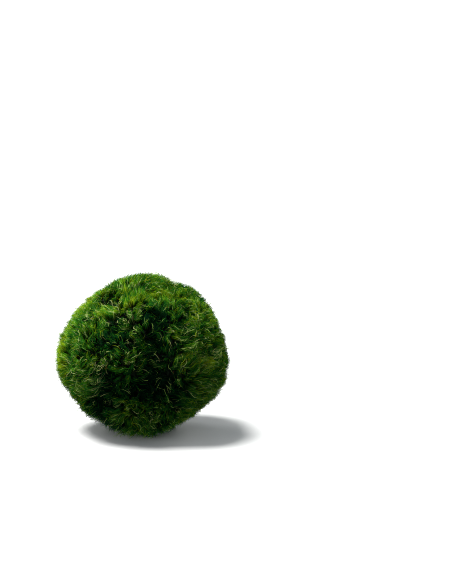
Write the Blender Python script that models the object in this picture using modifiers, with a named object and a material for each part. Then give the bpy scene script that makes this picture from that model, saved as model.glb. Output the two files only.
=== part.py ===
"""A marimo moss ball: one lumpy, slightly squashed ball of green alga that rests on a small flat spot.

The ball grew as one piece, so it is one solid. Its surface is the envelope that the tips of the
filaments reach. +Z is up, -Y is the front, and the origin is the middle of the flat spot.
"""

import math

import bmesh
import bpy
from mathutils import Vector, noise

# Driving dimensions, in metres
WIDTH = 0.0500  # left to right, along X
DEPTH = 0.0485  # front to back, along Y
HEIGHT = 0.0464  # from the flat spot to the crown, along Z
FLAT_DEPTH = 0.0018  # how much of the round underside the ball's own weight presses flat

# The cage that Subdivision Surface rounds off
CAGE_CUTS = 8  # cuts along each edge of the cube that becomes the cage
SMOOTH_LEVELS = 1
RIPPLE_SIZE = 2.6  # ripples per radius in the surface between the lobes
RIPPLE_HEIGHT = 0.030  # of the radius

# The lobes and hollows that the colony has grown: name, direction from the centre, height as a share
# of the radius (negative for a hollow), and how far it spreads, in degrees.
LOBES = (
    ("crown_lobe", (-0.10, -0.16, 0.98), 0.035, 18),
    ("upper_left_slope", (-0.66, 0.10, 0.74), -0.060, 30),
    ("left_crown_lobe", (-0.54, -0.34, 0.76), 0.040, 12),
    ("crown_parting", (-0.36, -0.38, 0.85), -0.075, 10),
    ("brow_ridge_left", (-0.64, -0.62, 0.45), 0.045, 15),
    ("brow_ridge_right", (0.02, -0.72, 0.69), 0.050, 18),
    ("right_shoulder", (0.62, -0.20, 0.76), 0.020, 22),
    ("left_cheek", (-0.74, -0.66, -0.05), 0.035, 17),
    ("left_rim_fold", (-0.88, -0.45, 0.12), -0.040, 9),
    ("left_rim", (-0.99, -0.08, -0.10), 0.035, 20),
    ("left_notch", (-0.90, -0.18, -0.38), -0.065, 14),
    ("front_hollow", (0.16, -0.97, 0.08), -0.075, 15),
    ("right_cheek", (0.66, -0.72, 0.18), 0.040, 18),
    ("lower_right_skirt", (0.80, -0.54, -0.24), 0.050, 18),
    ("skirt_undercut", (0.60, -0.30, -0.74), -0.115, 21),
    ("foot_lobe", (-0.02, -0.70, -0.71), 0.080, 16),
    ("foot_hollow", (-0.42, -0.78, -0.46), -0.065, 11),
    ("left_foot", (-0.48, -0.20, -0.85), 0.020, 14),
    ("lower_left_slope", (-0.68, -0.20, -0.70), -0.050, 15),
    ("back_crown_ridge", (0.20, 0.62, 0.76), 0.040, 18),
    ("back_crown_parting", (-0.28, 0.70, 0.66), -0.060, 12),
    ("back_left_lobe", (-0.68, 0.68, 0.10), 0.045, 18),
    ("back_middle_hollow", (-0.06, 0.99, 0.05), -0.070, 15),
    ("back_right_lobe", (0.66, 0.70, 0.02), 0.045, 18),
    ("back_foot_lobe", (-0.16, 0.72, -0.66), 0.045, 16),
    ("right_fold", (0.98, 0.12, 0.25), -0.035, 12),
)

MOSS_GREEN = (0.044, 0.114, 0.010, 1.0)
MOSS_ROUGHNESS = 0.85


def clear_scene():
    for obj in list(bpy.data.objects):
        bpy.data.objects.remove(obj, do_unlink=True)


def make_collection(name):
    collection = bpy.data.collections.new(name)
    bpy.context.scene.collection.children.link(collection)
    return collection


def moss_material():
    """The dull mid green of wet filaments seen end on."""
    material = bpy.data.materials.new("moss_green")
    material.use_nodes = True
    surface = material.node_tree.nodes["Principled BSDF"]
    surface.inputs["Base Color"].default_value = MOSS_GREEN
    surface.inputs["Roughness"].default_value = MOSS_ROUGHNESS
    surface.inputs["Metallic"].default_value = 0.0
    return material


def radius_towards(direction):
    """The ball's radius in a direction, as a share of a plain sphere's: lobes, hollows and ripples."""
    radius = 1.0 + RIPPLE_HEIGHT * noise.noise(direction * RIPPLE_SIZE)
    for _name, towards, height, spread in LOBES:
        angle = direction.angle(Vector(towards))
        radius += height * math.exp(-((angle / math.radians(spread)) ** 2))
    return radius


def lumpy_cage():
    """A cube cut into even squares, blown up into a sphere, with each vertex set at its own radius."""
    bpy.ops.mesh.primitive_cube_add(size=2.0)
    cage = bpy.context.object
    bpy.ops.object.mode_set(mode="EDIT")
    bpy.ops.mesh.select_all(action="SELECT")
    bpy.ops.mesh.subdivide(number_cuts=CAGE_CUTS)
    bpy.ops.object.mode_set(mode="OBJECT")
    for vertex in cage.data.vertices:
        # The tangent spreads the squares evenly over the sphere.
        even = Vector(math.tan(math.pi / 4 * share) for share in vertex.co)
        direction = even.normalized()
        vertex.co = direction * radius_towards(direction)
    return cage


def round_off(cage):
    """Applies Subdivision Surface, so that the size can be set on the rounded form."""
    smooth = cage.modifiers.new("smooth", "SUBSURF")
    smooth.levels = SMOOTH_LEVELS
    smooth.render_levels = SMOOTH_LEVELS
    bpy.ops.object.modifier_apply(modifier=smooth.name)


def corners(mesh):
    """The lowest and the highest corner of a mesh."""
    low = Vector(min(v.co[axis] for v in mesh.vertices) for axis in range(3))
    high = Vector(max(v.co[axis] for v in mesh.vertices) for axis in range(3))
    return low, high


def set_size(ball):
    """Scales the form to its driving dimensions and stands it with its flat spot's height at zero."""
    low, high = corners(ball.data)
    middle = (low + high) / 2
    span = high - low
    scale = Vector((WIDTH / span.x, DEPTH / span.y, (HEIGHT + FLAT_DEPTH) / span.z))
    for vertex in ball.data.vertices:
        vertex.co = (vertex.co - middle) * scale
        vertex.co.z += (HEIGHT - FLAT_DEPTH) / 2


def press_flat(ball):
    """Cuts the underside off level at zero height, which leaves the small flat spot it rests on."""
    form = bmesh.new()
    form.from_mesh(ball.data)
    bmesh.ops.bisect_plane(
        form,
        geom=form.verts[:] + form.edges[:] + form.faces[:],
        plane_co=(0, 0, 0),
        plane_no=(0, 0, 1),
        clear_inner=True,
    )
    rim = [edge for edge in form.edges if edge.is_boundary]
    bmesh.ops.holes_fill(form, edges=rim, sides=0)
    bmesh.ops.recalc_face_normals(form, faces=form.faces[:])
    form.to_mesh(ball.data)
    form.free()


def make_moss_ball(collection):
    ball = lumpy_cage()
    ball.name = "moss_ball"
    ball.data.name = "moss_ball"
    round_off(ball)
    set_size(ball)
    press_flat(ball)
    ball.data.materials.append(moss_material())
    ball.data.shade_smooth()
    ball.data.set_sharp_from_angle(angle=math.radians(40))
    for home in list(ball.users_collection):
        home.objects.unlink(ball)
    collection.objects.link(ball)
    return ball


def main():
    clear_scene()
    make_moss_ball(make_collection("marimo_moss_ball"))


main()
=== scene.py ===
"""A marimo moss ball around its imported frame: a matted felt body and the free filaments that cover it.

The filaments are real geometry, closed tapering tubes joined into a few pieces. Short nap hides the
felt, a fine pile leans in the directions that the colony has grown, and longer curly filaments stray
over it. Everything is in metres in the frame's own axes: +Z up, -Y the front.
"""

import math
from typing import NamedTuple

import bpy
import numpy as np
from bpy.props import FloatProperty, FloatVectorProperty, IntProperty, PointerProperty
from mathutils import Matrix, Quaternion, Vector, kdtree, noise
from mathutils.bvhtree import BVHTree


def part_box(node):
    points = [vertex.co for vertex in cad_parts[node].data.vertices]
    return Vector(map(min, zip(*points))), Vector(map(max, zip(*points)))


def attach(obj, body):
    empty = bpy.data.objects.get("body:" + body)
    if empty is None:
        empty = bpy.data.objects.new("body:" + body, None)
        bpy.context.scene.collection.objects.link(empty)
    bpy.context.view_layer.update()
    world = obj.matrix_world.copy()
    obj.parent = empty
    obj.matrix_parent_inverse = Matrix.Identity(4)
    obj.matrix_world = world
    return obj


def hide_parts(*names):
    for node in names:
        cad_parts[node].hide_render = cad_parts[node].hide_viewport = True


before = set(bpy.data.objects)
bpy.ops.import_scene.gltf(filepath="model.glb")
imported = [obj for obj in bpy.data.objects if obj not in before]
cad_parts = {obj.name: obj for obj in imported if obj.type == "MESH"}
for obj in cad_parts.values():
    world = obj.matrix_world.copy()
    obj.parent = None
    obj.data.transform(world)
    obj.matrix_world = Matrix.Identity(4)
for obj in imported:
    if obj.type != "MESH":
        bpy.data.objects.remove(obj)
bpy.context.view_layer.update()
NODE = "moss_ball"
BODY = "root"

BALL_LOW, BALL_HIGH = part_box(NODE)
BALL_MIDDLE = (BALL_LOW + BALL_HIGH) / 2
BALL_SPAN = BALL_HIGH - BALL_LOW
RADIUS = BALL_SPAN.x / 2
MM = 0.001

bl_info = {
    "name": "Marimo moss ball",
    "version": (1, 0, 0),
    "blender": (4, 5, 0),
    "location": "View3D > Sidebar > Moss",
    "description": "Builds a velvety ball of filamentous alga from felt, nap, pile and curly filaments",
    "category": "Add Mesh",
}

# Hollows that the colony has grown into: name, direction from the ball's middle, depth in mm, and
# spread in degrees.
HOLLOWS = (
    ("crown_valley_left", (-0.52, -0.45, 0.72), 4.8, 8),
    ("crown_valley", (-0.41, -0.49, 0.77), 4.6, 8),
    ("crown_valley_right", (-0.27, -0.50, 0.82), 3.8, 7),
    ("left_rim_groove", (-0.89, -0.43, 0.15), 3.2, 6),
    ("left_rim_groove_foot", (-0.90, -0.42, -0.03), 3.2, 6),
    ("left_notch", (-0.87, -0.39, -0.31), 3.0, 7),
    ("brow_pit_left", (-0.25, -0.86, 0.44), 3.0, 6),
    ("brow_pit_right", (0.18, -0.78, 0.59), 3.0, 6),
    ("right_cheek_pit", (0.51, -0.75, 0.42), 3.0, 6),
    ("front_furrow_top", (0.17, -0.95, 0.27), 3.4, 9),
    ("front_furrow", (0.13, -0.99, 0.04), 3.6, 10),
    ("front_furrow_foot", (0.11, -0.98, -0.18), 4.0, 10),
    ("low_left_pit", (-0.40, -0.91, -0.09), 3.2, 6),
    ("low_middle_pit", (-0.14, -0.93, -0.33), 5.4, 8),
    ("foot_hollow", (-0.42, -0.77, -0.49), 5.4, 8),
    ("foot_moat_left", (-0.52, -0.64, -0.57), 7.0, 8),
    ("foot_corner_pit", (-0.44, -0.42, -0.79), 4.5, 8),
    ("left_foot_slope", (-0.52, -0.18, -0.83), 2.6, 12),
    ("foot_moat_right", (0.10, -0.88, -0.46), 4.4, 7),
    ("foot_moat_top", (-0.16, -0.91, -0.38), 4.6, 6),
    ("skirt_root", (0.32, -0.90, -0.30), 3.2, 9),
    ("right_groove", (0.98, 0.10, 0.18), 3.6, 9),
    ("right_pit", (0.86, 0.28, -0.42), 3.8, 9),
    ("back_furrow_top", (-0.22, 0.80, 0.56), 4.4, 10),
    ("back_furrow", (-0.06, 0.99, 0.12), 4.2, 10),
    ("back_furrow_foot", (0.06, 0.96, -0.26), 4.4, 10),
    ("back_foot_hollow", (0.38, 0.80, -0.46), 4.2, 9),
    ("back_crown_pit", (0.34, 0.36, 0.87), 4.0, 8),
    ("back_left_pit", (-0.62, 0.72, -0.30), 3.8, 8),
    ("left_back_groove", (-0.90, 0.42, 0.10), 3.8, 9),
)

# Which way the filaments lie where the colony has a clear nap: name, place as a direction from the
# ball's middle, how far it reaches in degrees, the way that the tips point, and how strongly.
SWEEPS = (
    ("brow_left", (-0.60, -0.56, 0.57), 20, (-0.6, -0.4, 0.6), 0.6),
    ("brow_right", (0.10, -0.62, 0.78), 22, (0.4, -0.6, 0.7), 1.0),
    ("crown", (-0.05, -0.10, 0.99), 28, (0.6, -0.3, 0.3), 0.8),
    ("left_cheek", (-0.80, -0.60, -0.05), 26, (-0.9, -0.2, 0.15), 0.6),
    ("front_furrow", (0.10, -0.99, 0.0), 20, (0.1, 0.0, 1.0), 1.2),
    ("right_cheek", (0.66, -0.70, 0.24), 22, (0.9, 0.0, 0.3), 0.5),
    ("lower_right_skirt", (0.70, -0.66, -0.28), 24, (0.9, 0.1, 0.6), 1.2),
    ("foot_lobe", (-0.08, -0.80, -0.58), 18, (-0.1, -0.1, 1.0), 1.4),
    ("left_foot", (-0.64, -0.55, -0.53), 18, (-0.8, -0.3, 0.2), 0.6),
    ("right_back", (0.90, 0.40, 0.10), 26, (0.3, 0.7, 0.5), 1.2),
    ("back_left", (-0.66, 0.70, 0.20), 28, (-0.7, 0.3, -0.5), 1.2),
    ("back_right", (0.50, 0.80, 0.30), 28, (0.6, 0.2, -0.8), 1.2),
    ("back_foot", (0.0, 0.80, -0.60), 26, (0.2, 0.5, 0.8), 1.2),
)

# Patches of painted light and shade, with some of the green's own freshness or depth: the tone is
# painted up towards lime where light falls, on the left rim, the upper left and the brow, and down
# towards deep green where shade falls, under the brow, in the middle, at the foot and on the skirt.
# Name, place, spread in degrees, and the shift along the range of tones.
LIGHT_AND_SHADE_TONE_PATCHES = (
    ("left_rim", (-0.97, -0.12, 0.08), 15, 0.27),
    ("upper_left", (-0.74, 0.02, 0.66), 16, 0.34),
    ("left_overhang", (-0.96, -0.21, -0.18), 6, 0.20),
    ("brow_left", (-0.50, -0.66, 0.57), 9, 0.16),
    ("brow_middle", (-0.17, -0.63, 0.76), 10, 0.24),
    ("brow_right", (0.15, -0.51, 0.85), 9, 0.24),
    ("brow_far_right", (0.49, -0.38, 0.79), 8, 0.14),
    ("crown_shade", (-0.50, -0.41, 0.77), 5, -0.10),
    ("left_fold", (-0.64, -0.59, 0.50), 5, -0.25),
    ("rim_groove", (-0.87, -0.48, 0.11), 5, -0.20),
    ("under_brow", (0.17, -0.79, 0.59), 10, -0.26),
    ("middle_shade", (0.03, -0.92, 0.39), 14, -0.14),
    ("left_middle", (-0.34, -0.91, 0.22), 13, -0.15),
    ("low_left", (-0.44, -0.87, -0.23), 13, -0.20),
    ("low_middle", (0.21, -0.97, -0.12), 14, -0.10),
    ("low_centre", (0.07, -0.94, -0.34), 12, -0.09),
    ("foot_shade", (-0.51, -0.64, -0.58), 10, -0.38),
    ("foot_corner", (-0.46, -0.40, -0.79), 11, -0.36),
    ("foot_lobe", (-0.19, -0.75, -0.62), 9, 0.10),
    ("foot_edge", (-0.31, -0.63, -0.72), 5, 0.16),
    ("foot_spot", (-0.06, -0.36, -0.93), 6, 0.20),
    ("underside", (0.0, -0.45, -0.89), 30, -0.11),
    ("skirt", (0.50, -0.80, -0.34), 18, -0.13),
    ("skirt_tip", (0.90, -0.40, -0.15), 9, -0.04),
    ("right_cheek_spot", (0.42, -0.81, 0.41), 5, 0.20),
    ("right_cheek_tuft", (0.72, -0.69, 0.02), 5, 0.42),
    ("right_rim", (0.92, 0.30, 0.24), 14, 0.14),
    ("right_back_fold", (0.76, 0.62, -0.20), 9, -0.22),
    ("back_crown", (0.10, 0.60, 0.79), 16, 0.20),
    ("back_brow", (-0.46, 0.66, 0.60), 10, 0.16),
    ("back_shade", (-0.02, 0.98, 0.20), 16, -0.22),
    ("back_left_tuft", (-0.40, 0.90, 0.16), 5, 0.35),
    ("back_right_tuft", (0.52, 0.84, 0.14), 5, 0.30),
    ("back_low_shade", (0.10, 0.86, -0.50), 16, -0.16),
    ("back_foot", (-0.20, 0.72, -0.66), 9, 0.10),
    ("left_back_shade", (-0.82, 0.54, -0.18), 12, -0.16),
)

# Where filaments have died back to straw: name, place, spread in degrees, and the share of them.
OLD_PATCHES = (
    ("lower_left", (-0.66, -0.68, -0.32), 14, 0.11),
    ("brow", (-0.45, -0.62, 0.64), 12, 0.06),
    ("right_cheek", (0.60, -0.76, 0.25), 16, 0.14),
    ("curly_tuft_low", (-0.55, -0.81, -0.18), 6, 0.38),
    ("curly_tuft_high", (-0.47, -0.88, 0.0), 5, 0.45),
    ("brow_tuft_left", (-0.62, -0.55, 0.56), 5, 0.45),
    ("brow_tuft_middle", (-0.17, -0.80, 0.57), 5, 0.45),
    ("front_tuft", (-0.17, -0.97, 0.10), 5, 0.35),
    ("right_cheek_tip", (0.82, -0.55, 0.06), 4, 0.60),
    ("back_tuft_high", (0.30, 0.86, 0.41), 5, 0.25),
    ("back_tuft_low", (-0.52, 0.82, -0.22), 4, 0.25),
    ("right_tuft", (0.94, 0.05, -0.33), 4, 0.25),
)

# The shares of straw, sage and rust filaments everywhere
OLD_SHARE = 0.02
SAGE_SHARE = 0.12
RUST_SHARE = 0.002


def linear(hex_colour):
    """Turns an sRGB hex colour into the linear RGB that shaders use."""
    shares = [int(hex_colour[start : start + 2], 16) / 255 for start in (1, 3, 5)]
    return tuple(s / 12.92 if s <= 0.04045 else ((s + 0.055) / 1.055) ** 2.4 for s in shares)


def length_property(name, description, default):
    """A length in metres that the sidebar shows in the scene's unit."""
    return FloatProperty(
        name=name, description=description, default=default, min=0.0, unit="LENGTH", precision=5
    )


def colour_property(name, description, default):
    return FloatVectorProperty(
        name=name, description=description, default=linear(default), min=0.0, max=1.0, subtype="COLOR"
    )


class FeltSettings(bpy.types.PropertyGroup):
    """The matted body under the free filaments."""

    nap_depth: length_property("Nap depth", "How far the felt lies under the filaments' tips", 1.7 * MM)
    lump_height: length_property("Lump height", "How far the felt's small lumps rise and fall", 0.8 * MM)
    lump_size: length_property("Lump size", "How far apart the felt's small lumps are", 3.8 * MM)
    # The felt's colour is painted shade: nearly black, as the matted body looks under the filaments
    felt_colour: colour_property("Felt", "The shaded green of the matted body", "#0c1c08")


class FilamentSettings(bpy.types.PropertyGroup):
    """The free filaments, from the short nap to the single wisps."""

    # Real filaments are about 0.05 mm across. They are drawn coarser, so that they show.
    thickness: length_property("Thickness", "Across a filament at its root", 0.14 * MM)
    tuft_spacing: length_property("Tuft spacing", "From one tuft to the next", 1.15 * MM)
    tallest: length_property("Tallest", "The most that a tuft stands over the felt", 3.3 * MM)
    pit_depth: length_property("Pit depth", "How deep the pits between the tufts are", 3.2 * MM)
    fuzz: length_property("Fuzz", "How far the last tips stand over the envelope", 1.2 * MM)
    seed: IntProperty(name="Seed", description="Picks another ball of the same kind", default=7)
    # Deep green, moss green and lime are partly the alga's own tones and partly painted light and shade:
    # the patches and the hollows take filaments down to deep green where shade falls, and up to moss and
    # lime where light falls.
    deep_colour: colour_property("Deep green", "Filaments that grow in the shade", "#10381f")
    leaf_colour: colour_property("Leaf green", "Most of the filaments", "#277c22")
    moss_colour: colour_property("Moss green", "Filaments on the lit lobes", "#5a9216")
    lime_colour: colour_property("Lime", "Fresh yellow-green tips", "#a3c028")
    # Straw and sage are partly pale old and bare filaments and partly painted glints: bright wisps that
    # stand in for the gleam of wet filaments, which the filament shader leaves out.
    straw_colour: colour_property("Straw", "Old filaments that have lost their green", "#e2eb9c")
    sage_colour: colour_property("Sage", "Bare filaments that look grey-green", "#b8da72")
    rust_colour: colour_property("Rust", "Dead filaments and silt", "#7a4a2c")


class StageSettings(bpy.types.PropertyGroup):
    """The floor, the light and the camera."""

    floor_colour: colour_property("Floor", "The plain pale floor", "#c8c8c6")
    key_light: FloatProperty(
        name="Key light", description="The soft light over the back left", default=1.0, min=0.0
    )
    rim_light: FloatProperty(
        name="Rim light", description="The soft light from the back right", default=1.1, min=0.0
    )
    top_light: FloatProperty(
        name="Top light", description="The soft light nearly straight above", default=7.7, min=0.0
    )
    front_light: FloatProperty(
        name="Front light", description="The weak soft light from the front", default=0.64, min=0.0
    )
    side_light: FloatProperty(
        name="Side light", description="The weak soft light from the left", default=0.6, min=0.0
    )
    fill: FloatProperty(name="Fill", description="How bright the pale room is", default=0.34, min=0.0)


def unit(rows):
    """Each row of vectors at length one."""
    return rows / np.maximum(np.linalg.norm(rows, axis=-1, keepdims=True), 1e-12)


def nearness(directions, towards, spread):
    """One where a direction meets towards, falling off smoothly over the spread in degrees."""
    cosine = directions @ unit(np.array(towards, float))
    angle = np.degrees(np.arccos(np.clip(cosine, -1.0, 1.0)))
    return np.exp(-((angle / spread) ** 2))


def noise_field(points, size, shift=0.0):
    """A smooth random vector for each point, which turns over about every size. A shift of the points,
    in metres, gives another field of the same kind."""
    return np.array([noise.noise_vector(Vector(point / size)) for point in points + shift])


def deselect_all():
    if bpy.context.object and bpy.context.object.mode != "OBJECT":
        bpy.ops.object.mode_set(mode="OBJECT")
    bpy.ops.object.select_all(action="DESELECT")


def apply_modifier(piece, kind, **settings):
    """Adds a modifier with its settings and applies it."""
    modifier = piece.modifiers.new(kind.lower(), kind)
    for name, value in settings.items():
        setattr(modifier, name, value)
    bpy.context.view_layer.objects.active = piece
    bpy.ops.object.modifier_apply(modifier=modifier.name)


def vertex_places(mesh):
    places = np.empty(len(mesh.vertices) * 3)
    mesh.vertices.foreach_get("co", places)
    return places.reshape(-1, 3)


def finish_piece(piece):
    """Rides the piece on the frame, in place of the plain solid that reaches the filaments' tips."""
    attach(piece, BODY)
    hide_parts(NODE)


# Materials


def add_node(tree, kind, inputs=None, **settings):
    """Adds a node with its settings; each input is a value, or an output socket to link."""
    node = tree.nodes.new(kind)
    for name, value in settings.items():
        setattr(node, name, value)
    for name, value in (inputs or {}).items():
        if isinstance(value, bpy.types.NodeSocket):
            tree.links.new(value, node.inputs[name])
        else:
            node.inputs[name].default_value = value
    return node


def new_material(name):
    material = bpy.data.materials.new(name)
    material.use_nodes = True
    material.node_tree.nodes.clear()
    return material, material.node_tree


def set_ramp(node, stops):
    """Gives a Color Ramp its stops: (position, linear RGB)."""
    elements = node.color_ramp.elements
    while len(elements) > 1:
        elements.remove(elements[-1])
    elements[0].position = stops[0][0]
    elements[0].color = (*stops[0][1], 1.0)
    for position, colour in stops[1:]:
        elements.new(position).color = (*colour, 1.0)


MOTTLE_SIZE = 3.0 * MM  # from one thin place in the mat to the next
FIBRE_SIZE = 0.4 * MM  # real matted fibres are finer, and are drawn this coarse so that they show
FIBRE_DEPTH = 0.3 * MM
FELT_SHADES = (0.4, 1.6)  # the mottle's dark and light, as shares of the felt's own colour
MOTTLE_RANGE = (0.3, 0.7)  # where in the mottle the dark ends and the light starts
FELT_ROUGHNESS = 0.9
WET_CELL_IOR = 1.36  # thin cell walls full of water


def scaled(colour, share):
    return tuple(share * channel for channel in colour)


def matted_alga_felt(settings):
    """Matted alga felt: dull, painted nearly black for the shade between the roots, mottled where the
    mat is thinner.
    """
    material, tree = new_material("matted_alga_felt")
    place = add_node(tree, "ShaderNodeTexCoord").outputs["Object"]
    mottle = add_node(
        tree,
        "ShaderNodeTexNoise",
        {"Vector": place, "Scale": 1 / MOTTLE_SIZE, "Detail": 4.0, "Roughness": 0.6},
    )
    tone = add_node(tree, "ShaderNodeValToRGB", {"Fac": mottle.outputs["Fac"]})
    shades = (scaled(settings.felt_colour, share) for share in FELT_SHADES)
    set_ramp(tone, tuple(zip(MOTTLE_RANGE, shades)))
    fibre = add_node(
        tree,
        "ShaderNodeTexNoise",
        {"Vector": place, "Scale": 1 / FIBRE_SIZE, "Detail": 3.0, "Roughness": 0.7},
    )
    bump = add_node(
        tree,
        "ShaderNodeBump",
        {"Height": fibre.outputs["Fac"], "Distance": FIBRE_DEPTH, "Strength": 0.8},
    )
    surface = add_node(
        tree,
        "ShaderNodeBsdfPrincipled",
        {
            "Base Color": tone.outputs["Color"],
            "Roughness": FELT_ROUGHNESS,
            "IOR": WET_CELL_IOR,
            "Normal": bump.outputs["Normal"],
        },
    )
    add_node(tree, "ShaderNodeOutputMaterial", {"Surface": surface.outputs["BSDF"]})
    return material


# the map name that the export bakes through, so that tones stay exact
STRAND_MAP = "OFBake"  # the map that holds each filament's tone along U and its place from root to tip along V
GREEN_STOPS = (0.0, 0.12, 0.28, 0.50, 0.76, 0.80)  # along U: shadow, deep, leaf, moss, and lime twice
STRAW_STOPS = (0.83, 0.87)
SAGE_STOPS = (0.90, 0.94)
RUST_STOP = 0.97
PAINTED_SHADOW_SHARE = 0.4  # painted shadow: how bright a filament in the deepest hollows is painted, beside the deep green
THROUGH_GREEN = (2.2, 1.6, 0.3)  # what light that comes through a green filament gains and loses
THROUGH_SHARE = 0.45  # how much of the light that leaves a filament has come through it
PAINTED_ROOT_SHADE = ((0.0, 0.08), (0.35, 0.35), (0.70, 0.9), (1.0, 1.0))  # painted shade, darker towards the root where the pile shades it: share of the length, brightness
FILAMENT_ROUGHNESS = 0.5

# The sockets of the nodes that mix share their names, so they are picked by number.
FACTOR = 0
VALUE_A, VALUE_B = 2, 3
COLOUR_A, COLOUR_B = 6, 7
VALUE_OUT, COLOUR_OUT = 0, 2
SHADER_A, SHADER_B = 1, 2


def wet_alga_filament(settings):
    """Wet alga filament: thin, clear-walled cells, so light comes through it yellower than it shines
    off, and it has no hard gleam. U picks the filament's tone, and V runs from its root to its tip,
    along which painted shade darkens it towards the root."""
    material, tree = new_material("wet_alga_filament")
    place = add_node(tree, "ShaderNodeUVMap", uv_map=STRAND_MAP)
    axes = add_node(tree, "ShaderNodeSeparateXYZ", {"Vector": place.outputs["UV"]})
    green_colours = (
        # The first green is painted shadow, a darker copy of the deep green
        scaled(settings.deep_colour, PAINTED_SHADOW_SHARE),
        settings.deep_colour,
        settings.leaf_colour,
        settings.moss_colour,
        settings.lime_colour,
        settings.lime_colour,
    )
    greens = tuple(zip(GREEN_STOPS, green_colours))
    pales = (
        *((stop, settings.straw_colour) for stop in STRAW_STOPS),
        *((stop, settings.sage_colour) for stop in SAGE_STOPS),
        (RUST_STOP, settings.rust_colour),
    )
    warmed = tuple(
        (stop, tuple(channel * warmth for channel, warmth in zip(colour, THROUGH_GREEN)))
        for stop, colour in greens
    )
    # Painted shade along the filament: dark at the root, where the filaments shade each other, to full
    # at the tip
    shade = add_node(tree, "ShaderNodeValToRGB", {"Fac": axes.outputs["Y"]})
    set_ramp(shade, tuple((along, (light,) * 3) for along, light in PAINTED_ROOT_SHADE))
    colours = []
    for stops in (greens + pales, warmed + pales):
        tones = add_node(tree, "ShaderNodeValToRGB", {"Fac": axes.outputs["X"]})
        set_ramp(tones, stops)
        shaded = add_node(
            tree,
            "ShaderNodeMix",
            {FACTOR: 1.0, COLOUR_A: tones.outputs["Color"], COLOUR_B: shade.outputs["Color"]},
            data_type="RGBA",
            blend_type="MULTIPLY",
        )
        colours.append(shaded.outputs[COLOUR_OUT])
    surface = add_node(
        tree,
        "ShaderNodeBsdfPrincipled",
        {
            "Base Color": colours[0],
            "Roughness": FILAMENT_ROUGHNESS,
            "IOR": WET_CELL_IOR,
            "Specular IOR Level": 0.0,
        },
    )
    through = add_node(tree, "ShaderNodeBsdfTranslucent", {"Color": colours[1]})
    both = add_node(
        tree,
        "ShaderNodeMixShader",
        {FACTOR: THROUGH_SHARE, SHADER_A: surface.outputs["BSDF"], SHADER_B: through.outputs["BSDF"]},
    )
    add_node(tree, "ShaderNodeOutputMaterial", {"Surface": both.outputs["Shader"]})
    return material


BOARD_ROUGHNESS = 0.9


def stage_material(colour):
    """Matt painted board: even, pale and without gloss."""
    material, tree = new_material("matt_board")
    surface = add_node(
        tree, "ShaderNodeBsdfPrincipled", {"Base Color": (*colour, 1.0), "Roughness": BOARD_ROUGHNESS}
    )
    add_node(tree, "ShaderNodeOutputMaterial", {"Surface": surface.outputs["BSDF"]})
    return material


# The felt body

FINENESS = 6  # subdivisions of the ico sphere, which make edges of about 0.9 mm
SWELL_SIZE = 2.2  # times the lumps' size
PIT_DEPTH = 2.4  # times the lumps' height, for the pits between the lumps
PIT_LEVEL = 0.3  # the share of the texture that stays out of the pits
SMOOTHINGS = 3


def hollow_depth(directions):
    """How deep the named hollows are in each direction from the ball's middle."""
    depth = np.zeros(len(directions))
    for _name, towards, deep, spread in HOLLOWS:
        depth = np.maximum(depth, deep * MM * nearness(directions, towards, spread))
    return depth


def carve_hollows(felt):
    """Presses the named hollows into the felt, towards the middle."""
    places = vertex_places(felt.data)
    directions = unit(places - np.array(BALL_MIDDLE))
    depth = hollow_depth(directions)
    felt.data.vertices.foreach_set("co", (places - directions * depth[:, None]).ravel())
    felt.data.update()


class MOSS_OT_felt_body(bpy.types.Operator):
    """Makes the matted body: a fine sphere drawn onto the frame's envelope, hollowed and roughened"""

    bl_idname = "moss.felt_body"
    bl_label = "Felt body"

    def execute(self, context):
        settings = context.scene.moss_felt
        deselect_all()
        bpy.ops.mesh.primitive_ico_sphere_add(
            subdivisions=FINENESS, radius=RADIUS / 2, location=BALL_MIDDLE
        )
        felt = context.object
        felt.name = "felt_body"
        felt.data.name = "felt_body"
        apply_modifier(
            felt,
            "SHRINKWRAP",
            target=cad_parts[NODE],
            wrap_method="NEAREST_SURFACEPOINT",
            wrap_mode="ON_SURFACE",
            offset=settings.nap_depth,
        )
        bpy.ops.object.transform_apply(location=True, rotation=True, scale=True)
        carve_hollows(felt)
        swell = bpy.data.textures.new("felt_swell", "CLOUDS")
        swell.noise_scale = SWELL_SIZE * settings.lump_size
        swell.noise_depth = 0
        apply_modifier(felt, "DISPLACE", texture=swell, strength=settings.lump_height, mid_level=0.5)
        lumps = bpy.data.textures.new("felt_lumps", "VORONOI")
        lumps.noise_scale = settings.lump_size
        pits = -PIT_DEPTH * settings.lump_height
        apply_modifier(felt, "DISPLACE", texture=lumps, strength=pits, mid_level=PIT_LEVEL)
        apply_modifier(felt, "SMOOTH", factor=0.5, iterations=SMOOTHINGS)
        felt.data.shade_smooth()
        felt.data.materials.append(matted_alga_felt(settings))
        finish_piece(felt)
        return {"FINISHED"}


# The filaments


def scatter(rng, count):
    """Random places on the felt, spread by area, with the felt's smooth normals there."""
    mesh = bpy.data.objects["felt_body"].data
    mesh.calc_loop_triangles()
    corners = np.empty(len(mesh.loop_triangles) * 3, np.int64)
    mesh.loop_triangles.foreach_get("vertices", corners)
    corners = corners.reshape(-1, 3)
    places = vertex_places(mesh)
    normals = np.empty(len(mesh.vertices) * 3)
    mesh.vertices.foreach_get("normal", normals)
    normals = normals.reshape(-1, 3)
    a, b, c = (places[corners[:, k]] for k in range(3))
    area = np.linalg.norm(np.cross(b - a, c - a), axis=1)
    picked = rng.choice(len(corners), count, p=area / area.sum())
    first = np.sqrt(rng.random(count))
    second = rng.random(count)
    weights = np.stack((1 - first, first * (1 - second), first * second), axis=1)[:, :, None]
    roots = (places[corners[picked]] * weights).sum(1)
    return roots, unit((normals[corners[picked]] * weights).sum(1))


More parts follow.
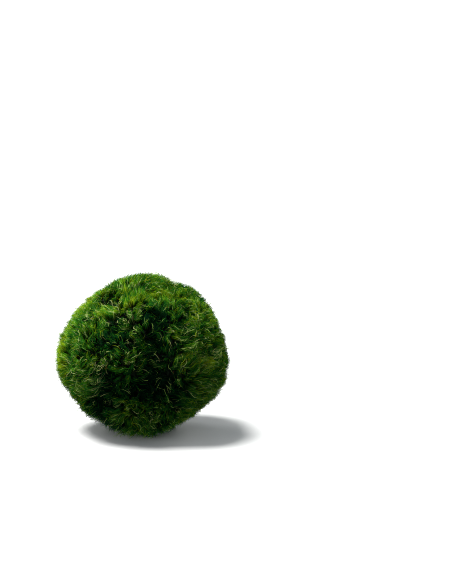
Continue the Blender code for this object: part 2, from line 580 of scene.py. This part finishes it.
def nearest(points, centres):
    """For each point, the index of the nearest centre."""
    tree = kdtree.KDTree(len(centres))
    for index, centre in enumerate(centres):
        tree.insert(centre, index)
    tree.balance()
    return np.array([tree.find(point)[1] for point in points])


def room_under_envelope(points):
    """How far each point lies under the frame's envelope, or over it where that is less than zero."""
    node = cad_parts[NODE].data
    envelope = BVHTree.FromPolygons(
        [vertex.co for vertex in node.vertices], [face.vertices for face in node.polygons]
    )
    room = []
    for point in points:
        spot, normal, _face, distance = envelope.find_nearest(point)
        outside = (Vector(point) - spot).dot(normal) > 0
        room.append(-distance if outside else distance)
    return np.array(room)


SHORTEST_SHARE = 0.2  # of a filament's length that trimming always leaves


def trim_to_envelope(paths, proud):
    """Shortens the filaments that would stand further over the envelope than proud."""
    under = room_under_envelope(paths[:, 0])
    over = -room_under_envelope(paths[:, -1])
    share = np.where(over > proud, (under + proud) / np.maximum(under + over, 1e-6), 1.0)
    roots = paths[:, :1]
    return roots + (paths - roots) * np.clip(share, SHORTEST_SHARE, 1.0)[:, None, None]


def patches(outwards, rows):
    """How much a table of named patches adds in each direction."""
    return sum(amount * nearness(outwards, towards, spread) for _name, towards, spread, amount in rows)


# How the tufts grow. Sizes are in metres, angles in degrees, and the rest are shares.
FELT_UNDER = 2.6 * MM  # about how much less the felt's mean radius is than half the ball's width
PATCH_SIZE = 4 * MM  # of the patches of tufts that share their pits, lean and tone
PIT_START = 0.10  # a pit grows where a patch's noise is over this
BROAD_FLOW_SIZE = 7 * MM  # swirls in the way that tufts lie
BROAD_FLOW = 1.2
FINE_FLOW_SIZE = 2.6 * MM  # and smaller turns within a swirl
DROOP = (0.0, 0.0, -0.15)  # the filaments' own weight
STRAY_FLOW = 0.30
FUZZ_OVER = 0.4  # how much of the fuzz the tufts themselves rise over the envelope
SHORTEST = 1.0 * MM
VARIETY = (1.06, 0.07)  # the mean and the spread of what scales the tufts' heights
VARIETY_LIMITS = (0.9, 1.2)
WORN_SHARE = 0.2  # how much of a tuft is worn off below WORN_HEIGHT
WORN_HEIGHT = 2 * MM
WORN_FADE = 9 * MM  # how much higher up a tuft is whole
LEAN = 33  # from the felt's normal, before the patches and the sweeps
LEAN_SWEPT = 18
MOST_SWEPT = 1.3
LEAN_PATCHY = 16
LEAN_STRAY = 8
LEAN_LIMITS = (5, 62)
TONE = 0.375  # along the range of greens, before the patches
TONE_BROAD_SIZE = 9 * MM
TONE_BROAD = 0.16
TONE_PATCHY = 0.10
TONE_STRAY = 0.05
# Painted shade: tufts in the hollows and the pits are painted darker, by this much tone at full depth
PAINTED_SHADE_TONE = 0.33
PAINTED_SHADE_DEPTH = 3 * MM  # a hollow or a pit this deep is shaded by one
MOST_PAINTED_SHADE = 1.2
BOW = 0.35  # how far tufts bow aside, before it is scaled by BEND


class Growth:
    """How the colony grows at each tuft: which way it lies, how tall it stands and its tone, which
    carries painted light and shade.
    """

    def __init__(self, settings):
        rng = np.random.default_rng(settings.seed)
        noise.seed_set(settings.seed)
        felt_area = 4 * math.pi * (RADIUS - FELT_UNDER) ** 2
        self.count = int(felt_area / settings.tuft_spacing**2)
        self.roots, self.normals = scatter(rng, self.count)
        self.outwards = unit(self.roots - np.array(BALL_MIDDLE))
        hollow = hollow_depth(self.outwards)
        patch = noise_field(self.roots, PATCH_SIZE, shift=2.0)
        pit = settings.pit_depth * np.clip(patch[:, 0] - PIT_START, 0.0, 1.0)
        swept = self.lay(rng)
        self.raise_up(rng, settings, hollow, pit)
        tilt = LEAN + LEAN_SWEPT * np.clip(swept, 0.0, MOST_SWEPT) + LEAN_PATCHY * patch[:, 1]
        tilt = tilt + rng.normal(0, LEAN_STRAY, self.count)
        self.lean = np.radians(np.clip(tilt, *LEAN_LIMITS))
        self.colour(rng, patch, hollow, pit)
        self.bow = rng.normal(0.0, BOW, (self.count, 3))

    def lay(self, rng):
        """Sets which way each tuft lies along the felt, and returns how strongly it is swept."""
        flow = noise_field(self.roots, BROAD_FLOW_SIZE) * BROAD_FLOW
        flow += noise_field(self.roots, FINE_FLOW_SIZE, shift=1.0)
        flow += np.array(DROOP)
        swept = np.zeros(self.count)
        for _name, towards, spread, way, strength in SWEEPS:
            pull = nearness(self.outwards, towards, spread) * strength
            flow += pull[:, None] * unit(np.array(way))
            swept = np.maximum(swept, pull)
        flow += rng.normal(0.0, STRAY_FLOW, (self.count, 3))
        along = (flow * self.normals).sum(1, keepdims=True)
        self.lie = unit(flow - self.normals * along)
        return swept

    def raise_up(self, rng, settings, hollow, pit):
        """Sets how tall each tuft stands: up to the envelope, apart from the hollows and the pits."""
        room = room_under_envelope(self.roots) + FUZZ_OVER * settings.fuzz - hollow - pit
        variety = np.clip(rng.normal(*VARIETY, self.count), *VARIETY_LIMITS)
        self.height = np.clip(room, SHORTEST, settings.tallest) * variety
        whole = np.clip((self.roots[:, 2] - BALL_LOW.z - WORN_HEIGHT) / WORN_FADE, 0.0, 1.0)
        self.height *= (1 - WORN_SHARE) + WORN_SHARE * whole

    def colour(self, rng, patch, hollow, pit):
        """Sets each tuft's place along the range of greens, painted darker in the hollows and the pits
        and lighter or darker by the patches of painted light and shade, and its share of straw.
        """
        # Painted shade: the deeper a tuft's hollow or pit, the darker its tone is painted
        shaded = np.clip((hollow + pit) / PAINTED_SHADE_DEPTH, 0.0, MOST_PAINTED_SHADE)
        broad = noise_field(self.roots, TONE_BROAD_SIZE, shift=3.0)
        self.tone = TONE + TONE_BROAD * broad[:, 0] + TONE_PATCHY * patch[:, 2]
        self.tone = self.tone + rng.normal(0, TONE_STRAY, self.count)
        self.tone += patches(self.outwards, LIGHT_AND_SHADE_TONE_PATCHES) - PAINTED_SHADE_TONE * shaded
        self.old = OLD_SHARE + patches(self.outwards, OLD_PATCHES)


class Coat(NamedTuple):
    """One coat of filaments. Each pair of numbers is the least and the most of an even spread."""

    names: tuple  # of its pieces
    split_axis: int  # the axis that the pieces are split along
    seed_step: int  # from the ball's seed, so that each coat has its own random draws
    count: int  # of filaments
    steps: int  # points along a filament
    height: tuple  # of a filament, as a share of its tuft's
    pull: tuple  # how far a filament is drawn in to its tuft's tip
    stray: float  # how far a tip strays from its tuft, in metres
    curl: float  # how wide a filament curls, in metres
    proud: tuple  # how far the tips may stand over the envelope, as a share of the fuzz
    thickness: tuple  # at the root, as a share of the setting
    pale_thickness: float  # how much thicker the pale ones are
    taper: float  # the power that the thickness falls off with
    tone_spread: float  # how much a filament's tone varies about its tuft's
    tone_shade: float  # how light the coat is beside its tufts' tone
    faded: float  # how many of its tufts' pale filaments this coat has


NAP = Coat(
    names=("nap_lower", "nap_upper"),
    split_axis=2,
    seed_step=1,
    count=52000,
    steps=2,
    height=(0.70, 1.0),
    pull=(0.0, 0.4),
    stray=0.22 * MM,
    curl=0.0,
    proud=(0.0, 0.5),
    thickness=(1.0, 1.5),
    pale_thickness=1.0,
    taper=0.8,
    tone_spread=0.30,
    tone_shade=0.85,
    faded=0.0,
)
PILE = Coat(
    names=("pile_lower", "pile_middle", "pile_upper"),
    split_axis=2,
    seed_step=2,
    count=39000,
    steps=3,
    height=(0.88, 1.06),
    pull=(0.15, 0.75),
    stray=0.28 * MM,
    curl=0.18 * MM,
    proud=(0.3, 1.0),
    thickness=(0.75, 1.1),
    pale_thickness=1.0,
    taper=0.55,
    tone_spread=0.42,
    tone_shade=0.98,
    faded=0.35,
)
FILAMENTS = Coat(
    names=("filaments_left", "filaments_right"),
    split_axis=0,
    seed_step=3,
    count=16000,
    steps=5,
    height=(0.9, 1.3),
    pull=(0.0, 0.4),
    stray=0.50 * MM,
    curl=0.55 * MM,
    proud=(0.0, 1.0),
    thickness=(1.1, 1.4),
    pale_thickness=1.4,
    taper=0.55,
    tone_spread=0.46,
    tone_shade=1.1,
    faded=1.0,
)

# How one filament runs. RISE and REACH are each the share at the root and its change to the tip, so
# that a filament starts steep and bends over.
RISE = (1.3, -0.3)
REACH = (0.45, 0.55)
LONGEST_REACH = 2.9 * MM  # along the felt, from the root to the tip
BEND = 0.35  # how much of its height a filament bends by, halfway along
PULL_POWER = 1.3  # its pull grows with this power of the share along it
STRAY_POWER = 1.5  # and its straying with this one
CURL_TURNS = (0.6, 1.6)  # from the root to the tip


def strand_paths(rng, growth, owners, roots, coat):
    """The points along each filament. It follows its tuft, drawn in to the tuft's tip by its pull, and
    strays from it by a random way that grows along its length. It curls about that way."""
    count = coat.count
    share = rng.uniform(*coat.height, count)
    pull = rng.uniform(*coat.pull, count)
    along = np.linspace(0.0, 1.0, coat.steps)[None, :, None]
    height = (growth.height[owners] * share)[:, None, None]
    lean = growth.lean[owners][:, None, None]
    normal = growth.normals[owners][:, None, :]
    lie = growth.lie[owners][:, None, :]
    reach = np.minimum(height * np.tan(lean), LONGEST_REACH)
    spine = normal * height * along * (RISE[0] + RISE[1] * along)
    spine = spine + lie * reach * along * (REACH[0] + REACH[1] * along)
    bend = growth.bow[owners][:, None, :] * height * BEND
    spine = spine + bend * np.sin(along * math.pi)
    offset = (roots - growth.roots[owners])[:, None, :]
    own = offset * (1.0 - pull[:, None, None] * along**PULL_POWER)
    ways = rng.normal(0.0, 1.0, (count, 1, 3)) * coat.stray * along**STRAY_POWER
    phase = rng.random((count, 1, 3)) * 2 * math.pi
    turns = rng.uniform(*CURL_TURNS, (count, 1, 3))
    wave = (np.sin(phase + turns * along * 2 * math.pi) - np.sin(phase)) * coat.curl * along
    return growth.roots[owners][:, None, :] + own + spine + ways + wave


def keep_off_floor(paths, clearance):
    """Filaments that would reach through the floor lie along it instead."""
    paths[:, :, 2] = np.maximum(paths[:, :, 2], BALL_LOW.z + clearance)


SIDES = 3  # of a tube
ROOT_CAP_WIDTH = 0.01  # of the map, so that the cap at the root has some area on it
TONE_WIDTH = 0.004  # of the map, either side of a filament's tone


def tube_places(paths, thickness, taper, seed):
    """The vertices of each tube: rings that shrink along the path, then the point at its tip. The seed
    picks how the tubes are turned about their own length."""
    count, steps, _ = paths.shape
    rings = steps - 1
    forward = unit(np.gradient(paths, axis=1))
    across = np.random.default_rng(seed).normal(0.0, 1.0, (count, 1, 3))
    side = unit(np.cross(forward, across))
    other = np.cross(forward, side)
    along = np.linspace(0.0, 1.0, steps)
    radii = (thickness[:, None] / 2) * (1.0 - along[None, :]) ** taper
    angles = np.arange(SIDES) * 2 * math.pi / SIDES
    around = side[:, :rings, None, :] * np.cos(angles)[None, None, :, None]
    around = around + other[:, :rings, None, :] * np.sin(angles)[None, None, :, None]
    tubes = paths[:, :rings, None, :] + around * radii[:, :rings, None, None]
    tubes = tubes.reshape(count, rings * SIDES, 3)
    return np.concatenate((tubes, paths[:, rings:, :]), axis=1)


def tube_faces(rings):
    """One tube's faces, as vertex numbers: a cap at the root, bands of quads, and the tip."""
    faces = [(0, 2, 1)]
    for ring in range(rings - 1):
        for corner in range(SIDES):
            after = (corner + 1) % SIDES
            low = ring * SIDES
            high = low + SIDES
            faces.append((low + corner, low + after, high + after, high + corner))
    tip = rings * SIDES
    for corner in range(SIDES):
        faces.append((tip - SIDES + corner, tip - SIDES + (corner + 1) % SIDES, tip))
    return faces


def strands(name, paths, thickness, tones, taper, material):
    """Joins filaments into one piece of closed, three-sided tubes that taper to a point."""
    count, steps, _ = paths.shape
    rings = steps - 1
    places = tube_places(paths, thickness, taper, len(name))
    faces = tube_faces(rings)
    each = rings * SIDES + 1
    loops = np.array([corner for face in faces for corner in face])
    sizes = np.array([len(face) for face in faces])
    starts = np.concatenate(([0], np.cumsum(sizes)[:-1]))
    all_loops = (loops[None, :] + np.arange(count)[:, None] * each).ravel()
    all_starts = (starts[None, :] + np.arange(count)[:, None] * len(loops)).ravel()
    mesh = bpy.data.meshes.new(name)
    mesh.vertices.add(count * each)
    mesh.vertices.foreach_set("co", places.ravel())
    mesh.loops.add(len(all_loops))
    mesh.loops.foreach_set("vertex_index", all_loops)
    mesh.polygons.add(count * len(faces))
    mesh.polygons.foreach_set("loop_start", all_starts)
    mesh.update(calc_edges=True)
    mesh.shade_smooth()
    along = np.linspace(0.0, 1.0, steps)
    v = np.concatenate((np.repeat(along[:rings], SIDES), [1.0]))[loops]
    v[1] = ROOT_CAP_WIDTH
    u = np.concatenate((np.tile((-1.0, 0.0, 1.0), rings), [0.0]))[loops] * TONE_WIDTH
    spots = np.empty((count, len(loops), 2))
    spots[:, :, 0] = tones[:, None] + u[None, :]
    spots[:, :, 1] = v[None, :]
    mesh.uv_layers.new(name=STRAND_MAP).data.foreach_set("uv", spots.ravel())
    mesh.validate()
    piece = bpy.data.objects.new(name, mesh)
    bpy.context.scene.collection.objects.link(piece)
    mesh.materials.append(material)
    finish_piece(piece)


DARKEST_TUFT = 0.07  # along the range of tones, so that no filament is quite black
SPREAD_FALL = (1.5, -1.2)  # darker tufts vary more: the scale at no tone at all, and its change
SPREAD_LIMITS = (0.6, 1.4)
GREEN_LIMITS = (0.02, 0.76)
STRAW_TONES = (0.835, 0.865)  # inside the bands of STRAW_STOPS and SAGE_STOPS
SAGE_TONES = (0.905, 0.935)
RUST_TONE = 0.975  # past RUST_STOP
PALE_FROM = 0.8  # tones over this are straw, sage or rust
# Pale filaments thin out on tufts whose tone is painted dark, so that the painted shade there stays dark
LIT_TUFT = 0.30  # darker tufts than this have fewer pale filaments
FEWEST_PALE = 0.4
SAGE_FROM = 0.5  # where sage starts in the draw, which has straw below it and rust at its top


def strand_tones(rng, growth, owners, coat):
    """Each filament's tone: near its tuft's, apart from the few pale ones."""
    count = len(owners)
    own = np.maximum(growth.tone[owners], DARKEST_TUFT)
    vary = coat.tone_spread * np.clip(SPREAD_FALL[0] + SPREAD_FALL[1] * own, *SPREAD_LIMITS)
    tones = own * np.exp(rng.normal(0.0, 1.0, count) * vary) * coat.tone_shade
    tones = np.clip(tones, *GREEN_LIMITS)
    draw = rng.random(count)
    straw = rng.uniform(*STRAW_TONES, count)
    sage = rng.uniform(*SAGE_TONES, count)
    faded = coat.faded * np.clip(growth.tone[owners] / LIT_TUFT, FEWEST_PALE, 1.0)
    tones = np.where(draw < growth.old[owners] * faded, straw, tones)
    is_sage = (draw > SAGE_FROM) & (draw < SAGE_FROM + SAGE_SHARE * faded)
    tones = np.where(is_sage, sage, tones)
    return np.where(draw > 1 - RUST_SHARE * faded, RUST_TONE, tones)


def grow_coat(settings, coat):
    """Grows one coat of filaments and splits it into its pieces."""
    growth = Growth(settings)
    rng = np.random.default_rng(settings.seed + coat.seed_step)
    roots, _normals = scatter(rng, coat.count)
    owners = nearest(roots, growth.roots)
    paths = strand_paths(rng, growth, owners, roots, coat)
    paths = trim_to_envelope(paths, settings.fuzz * rng.uniform(*coat.proud, coat.count))
    tones = strand_tones(rng, growth, owners, coat)
    thickness = settings.thickness * rng.uniform(*coat.thickness, coat.count)
    thickness *= np.where(tones > PALE_FROM, coat.pale_thickness, 1.0)
    keep_off_floor(paths, thickness.max() / 2)
    material = bpy.data.materials.get("wet_alga_filament") or wet_alga_filament(settings)
    order = np.argsort(roots[:, coat.split_axis], kind="stable")
    for name, chosen in zip(coat.names, np.array_split(order, len(coat.names))):
        strands(name, paths[chosen], thickness[chosen], tones[chosen], coat.taper, material)


class MOSS_OT_nap(bpy.types.Operator):
    """Makes the short dense nap that hides the felt"""

    bl_idname = "moss.nap"
    bl_label = "Short nap"

    def execute(self, context):
        grow_coat(context.scene.moss_filaments, NAP)
        return {"FINISHED"}


class MOSS_OT_pile(bpy.types.Operator):
    """Makes the fine pile of tufts that gives the ball its velvet"""

    bl_idname = "moss.pile"
    bl_label = "Pile"

    def execute(self, context):
        grow_coat(context.scene.moss_filaments, PILE)
        return {"FINISHED"}


class MOSS_OT_filaments(bpy.types.Operator):
    """Makes the longer curly filaments that stray over the pile"""

    bl_idname = "moss.filaments"
    bl_label = "Curly filaments"

    def execute(self, context):
        grow_coat(context.scene.moss_filaments, FILAMENTS)
        return {"FINISHED"}


# The stage

VIEW_ELEVATION = 11.0  # degrees above the horizon
LENS = 135.0
SENSOR = 36.0
FRAME_WIDTH = 452
FRAME_HEIGHT = 584
BALL_SHARE = 0.378  # how much of the frame's width the ball takes
BALL_LEFT = 0.185  # the ball's middle from the frame's middle, in frame widths
BALL_DOWN = 0.135
FLOOR_RADIUS = 12.0  # large enough that its far edge is out of the frame
FLOOR_EDGES = 96
CLIP_RANGE = 100  # how many times nearer and further than the ball the camera sees
ROOM_TINT = (0.82, 0.92, 1.0, 1.0)  # the room's light is a little cool
WHITE = (1.0, 1.0, 1.0, 1.0)

# The soft lights: the name of each, which its strength in the settings shares, the way it shines from,
# and how wide it looks, in degrees
LIGHTS = (
    ("top_light", (-0.36, 0.06, 0.93), 26),
    ("key_light", (-0.66, 0.62, 0.42), 25),
    ("rim_light", (0.62, 0.68, 0.42), 30),
    ("front_light", (-0.05, -0.95, 0.18), 50),
    ("side_light", (-0.88, -0.42, 0.22), 30),
)


def aim_camera():
    """Stands the camera straight in front of the ball at the viewing elevation, then turns it right
    and up, which sets the ball low and left in the frame."""
    camera = bpy.data.objects.new("camera", bpy.data.cameras.new("camera"))
    bpy.context.scene.collection.objects.link(camera)
    camera.data.lens = LENS
    camera.data.sensor_width = SENSOR
    elevation = math.radians(VIEW_ELEVATION)
    back = Vector((0.0, -math.cos(elevation), math.sin(elevation)))
    view_width = BALL_SPAN.x / BALL_SHARE
    view_height = view_width * FRAME_HEIGHT / FRAME_WIDTH
    distance = view_height * LENS / SENSOR
    turn_right = Quaternion((0.0, 1.0, 0.0), -math.atan(BALL_LEFT * view_width / distance))
    turn_up = Quaternion((1.0, 0.0, 0.0), math.atan(BALL_DOWN * view_width / distance))
    facing = (-back).to_track_quat("-Z", "Y") @ turn_right @ turn_up
    camera.location = BALL_MIDDLE + back * distance
    camera.rotation_euler = facing.to_euler()
    camera.data.clip_start = distance / CLIP_RANGE
    camera.data.clip_end = distance * CLIP_RANGE
    bpy.context.scene.camera = camera


def soft_light(name, from_way, spread, strength):
    """A distant soft light that shines from a direction. Its spread is in degrees across."""
    light = bpy.data.lights.new(name, "SUN")
    light.angle = math.radians(spread)
    light.energy = strength
    lamp = bpy.data.objects.new(name, light)
    bpy.context.scene.collection.objects.link(lamp)
    lamp.rotation_euler = Vector(from_way).to_track_quat("Z", "Y").to_euler()


def pale_room(fill):
    """The room behind the floor is pale, and it lights the ball less than it looks."""
    world = bpy.data.worlds.new("pale_room")
    world.use_nodes = True
    tree = world.node_tree
    tree.nodes.clear()
    seen = add_node(tree, "ShaderNodeLightPath").outputs["Is Camera Ray"]
    strength = add_node(tree, "ShaderNodeMix", {FACTOR: seen, VALUE_A: fill, VALUE_B: 1.0})
    colour = add_node(
        tree, "ShaderNodeMix", {FACTOR: seen, COLOUR_A: ROOM_TINT, COLOUR_B: WHITE}, data_type="RGBA"
    )
    room = add_node(
        tree,
        "ShaderNodeBackground",
        {"Color": colour.outputs[COLOUR_OUT], "Strength": strength.outputs[VALUE_OUT]},
    )
    add_node(tree, "ShaderNodeOutputWorld", {"Surface": room.outputs["Background"]})
    bpy.context.scene.world = world


class MOSS_OT_stage(bpy.types.Operator):
    """Makes the pale floor, the soft lights and the camera"""

    bl_idname = "moss.stage"
    bl_label = "Stage"

    def execute(self, context):
        settings = context.scene.moss_stage
        deselect_all()
        bpy.ops.mesh.primitive_circle_add(
            vertices=FLOOR_EDGES, radius=FLOOR_RADIUS, fill_type="NGON", location=(0, 0, BALL_LOW.z)
        )
        floor = context.object
        floor.name = "floor"
        floor.data.materials.append(stage_material(settings.floor_colour))
        # No light bounces up from the floor, so the ball's underside stays dark.
        floor.visible_diffuse = False
        floor.visible_glossy = False
        floor.visible_transmission = False
        for name, from_way, spread in LIGHTS:
            soft_light(name, from_way, spread, getattr(settings, name))
        pale_room(settings.fill)
        context.scene.view_settings.view_transform = "Standard"
        # These two keep single filaments crisp.
        context.scene.cycles.denoising_prefilter = "NONE"
        context.scene.cycles.filter_width = 1.0
        aim_camera()
        return {"FINISHED"}


# The add-on


class MOSS_PT_panel(bpy.types.Panel):
    """Lists the moss ball's settings and the buttons that make its pieces"""

    bl_idname = "MOSS_PT_panel"
    bl_label = "Moss ball"
    bl_space_type = "VIEW_3D"
    bl_region_type = "UI"
    bl_category = "Moss"

    def draw(self, context):
        for group in (context.scene.moss_felt, context.scene.moss_filaments, context.scene.moss_stage):
            box = self.layout.box()
            for name in group.__annotations__:
                box.prop(group, name)
        for operator in OPERATORS:
            self.layout.operator(operator.bl_idname)


OPERATORS = (MOSS_OT_felt_body, MOSS_OT_nap, MOSS_OT_pile, MOSS_OT_filaments, MOSS_OT_stage)
CLASSES = (FeltSettings, FilamentSettings, StageSettings, *OPERATORS, MOSS_PT_panel)


def register():
    for kind in CLASSES:
        bpy.utils.register_class(kind)
    bpy.types.Scene.moss_felt = PointerProperty(type=FeltSettings)
    bpy.types.Scene.moss_filaments = PointerProperty(type=FilamentSettings)
    bpy.types.Scene.moss_stage = PointerProperty(type=StageSettings)


def unregister():
    del bpy.types.Scene.moss_stage
    del bpy.types.Scene.moss_filaments
    del bpy.types.Scene.moss_felt
    for kind in reversed(CLASSES):
        bpy.utils.unregister_class(kind)


def main():
    register()
    bpy.ops.moss.felt_body()
    bpy.ops.moss.nap()
    bpy.ops.moss.pile()
    bpy.ops.moss.filaments()
    bpy.ops.moss.stage()


if __name__ == "__main__":
    main()
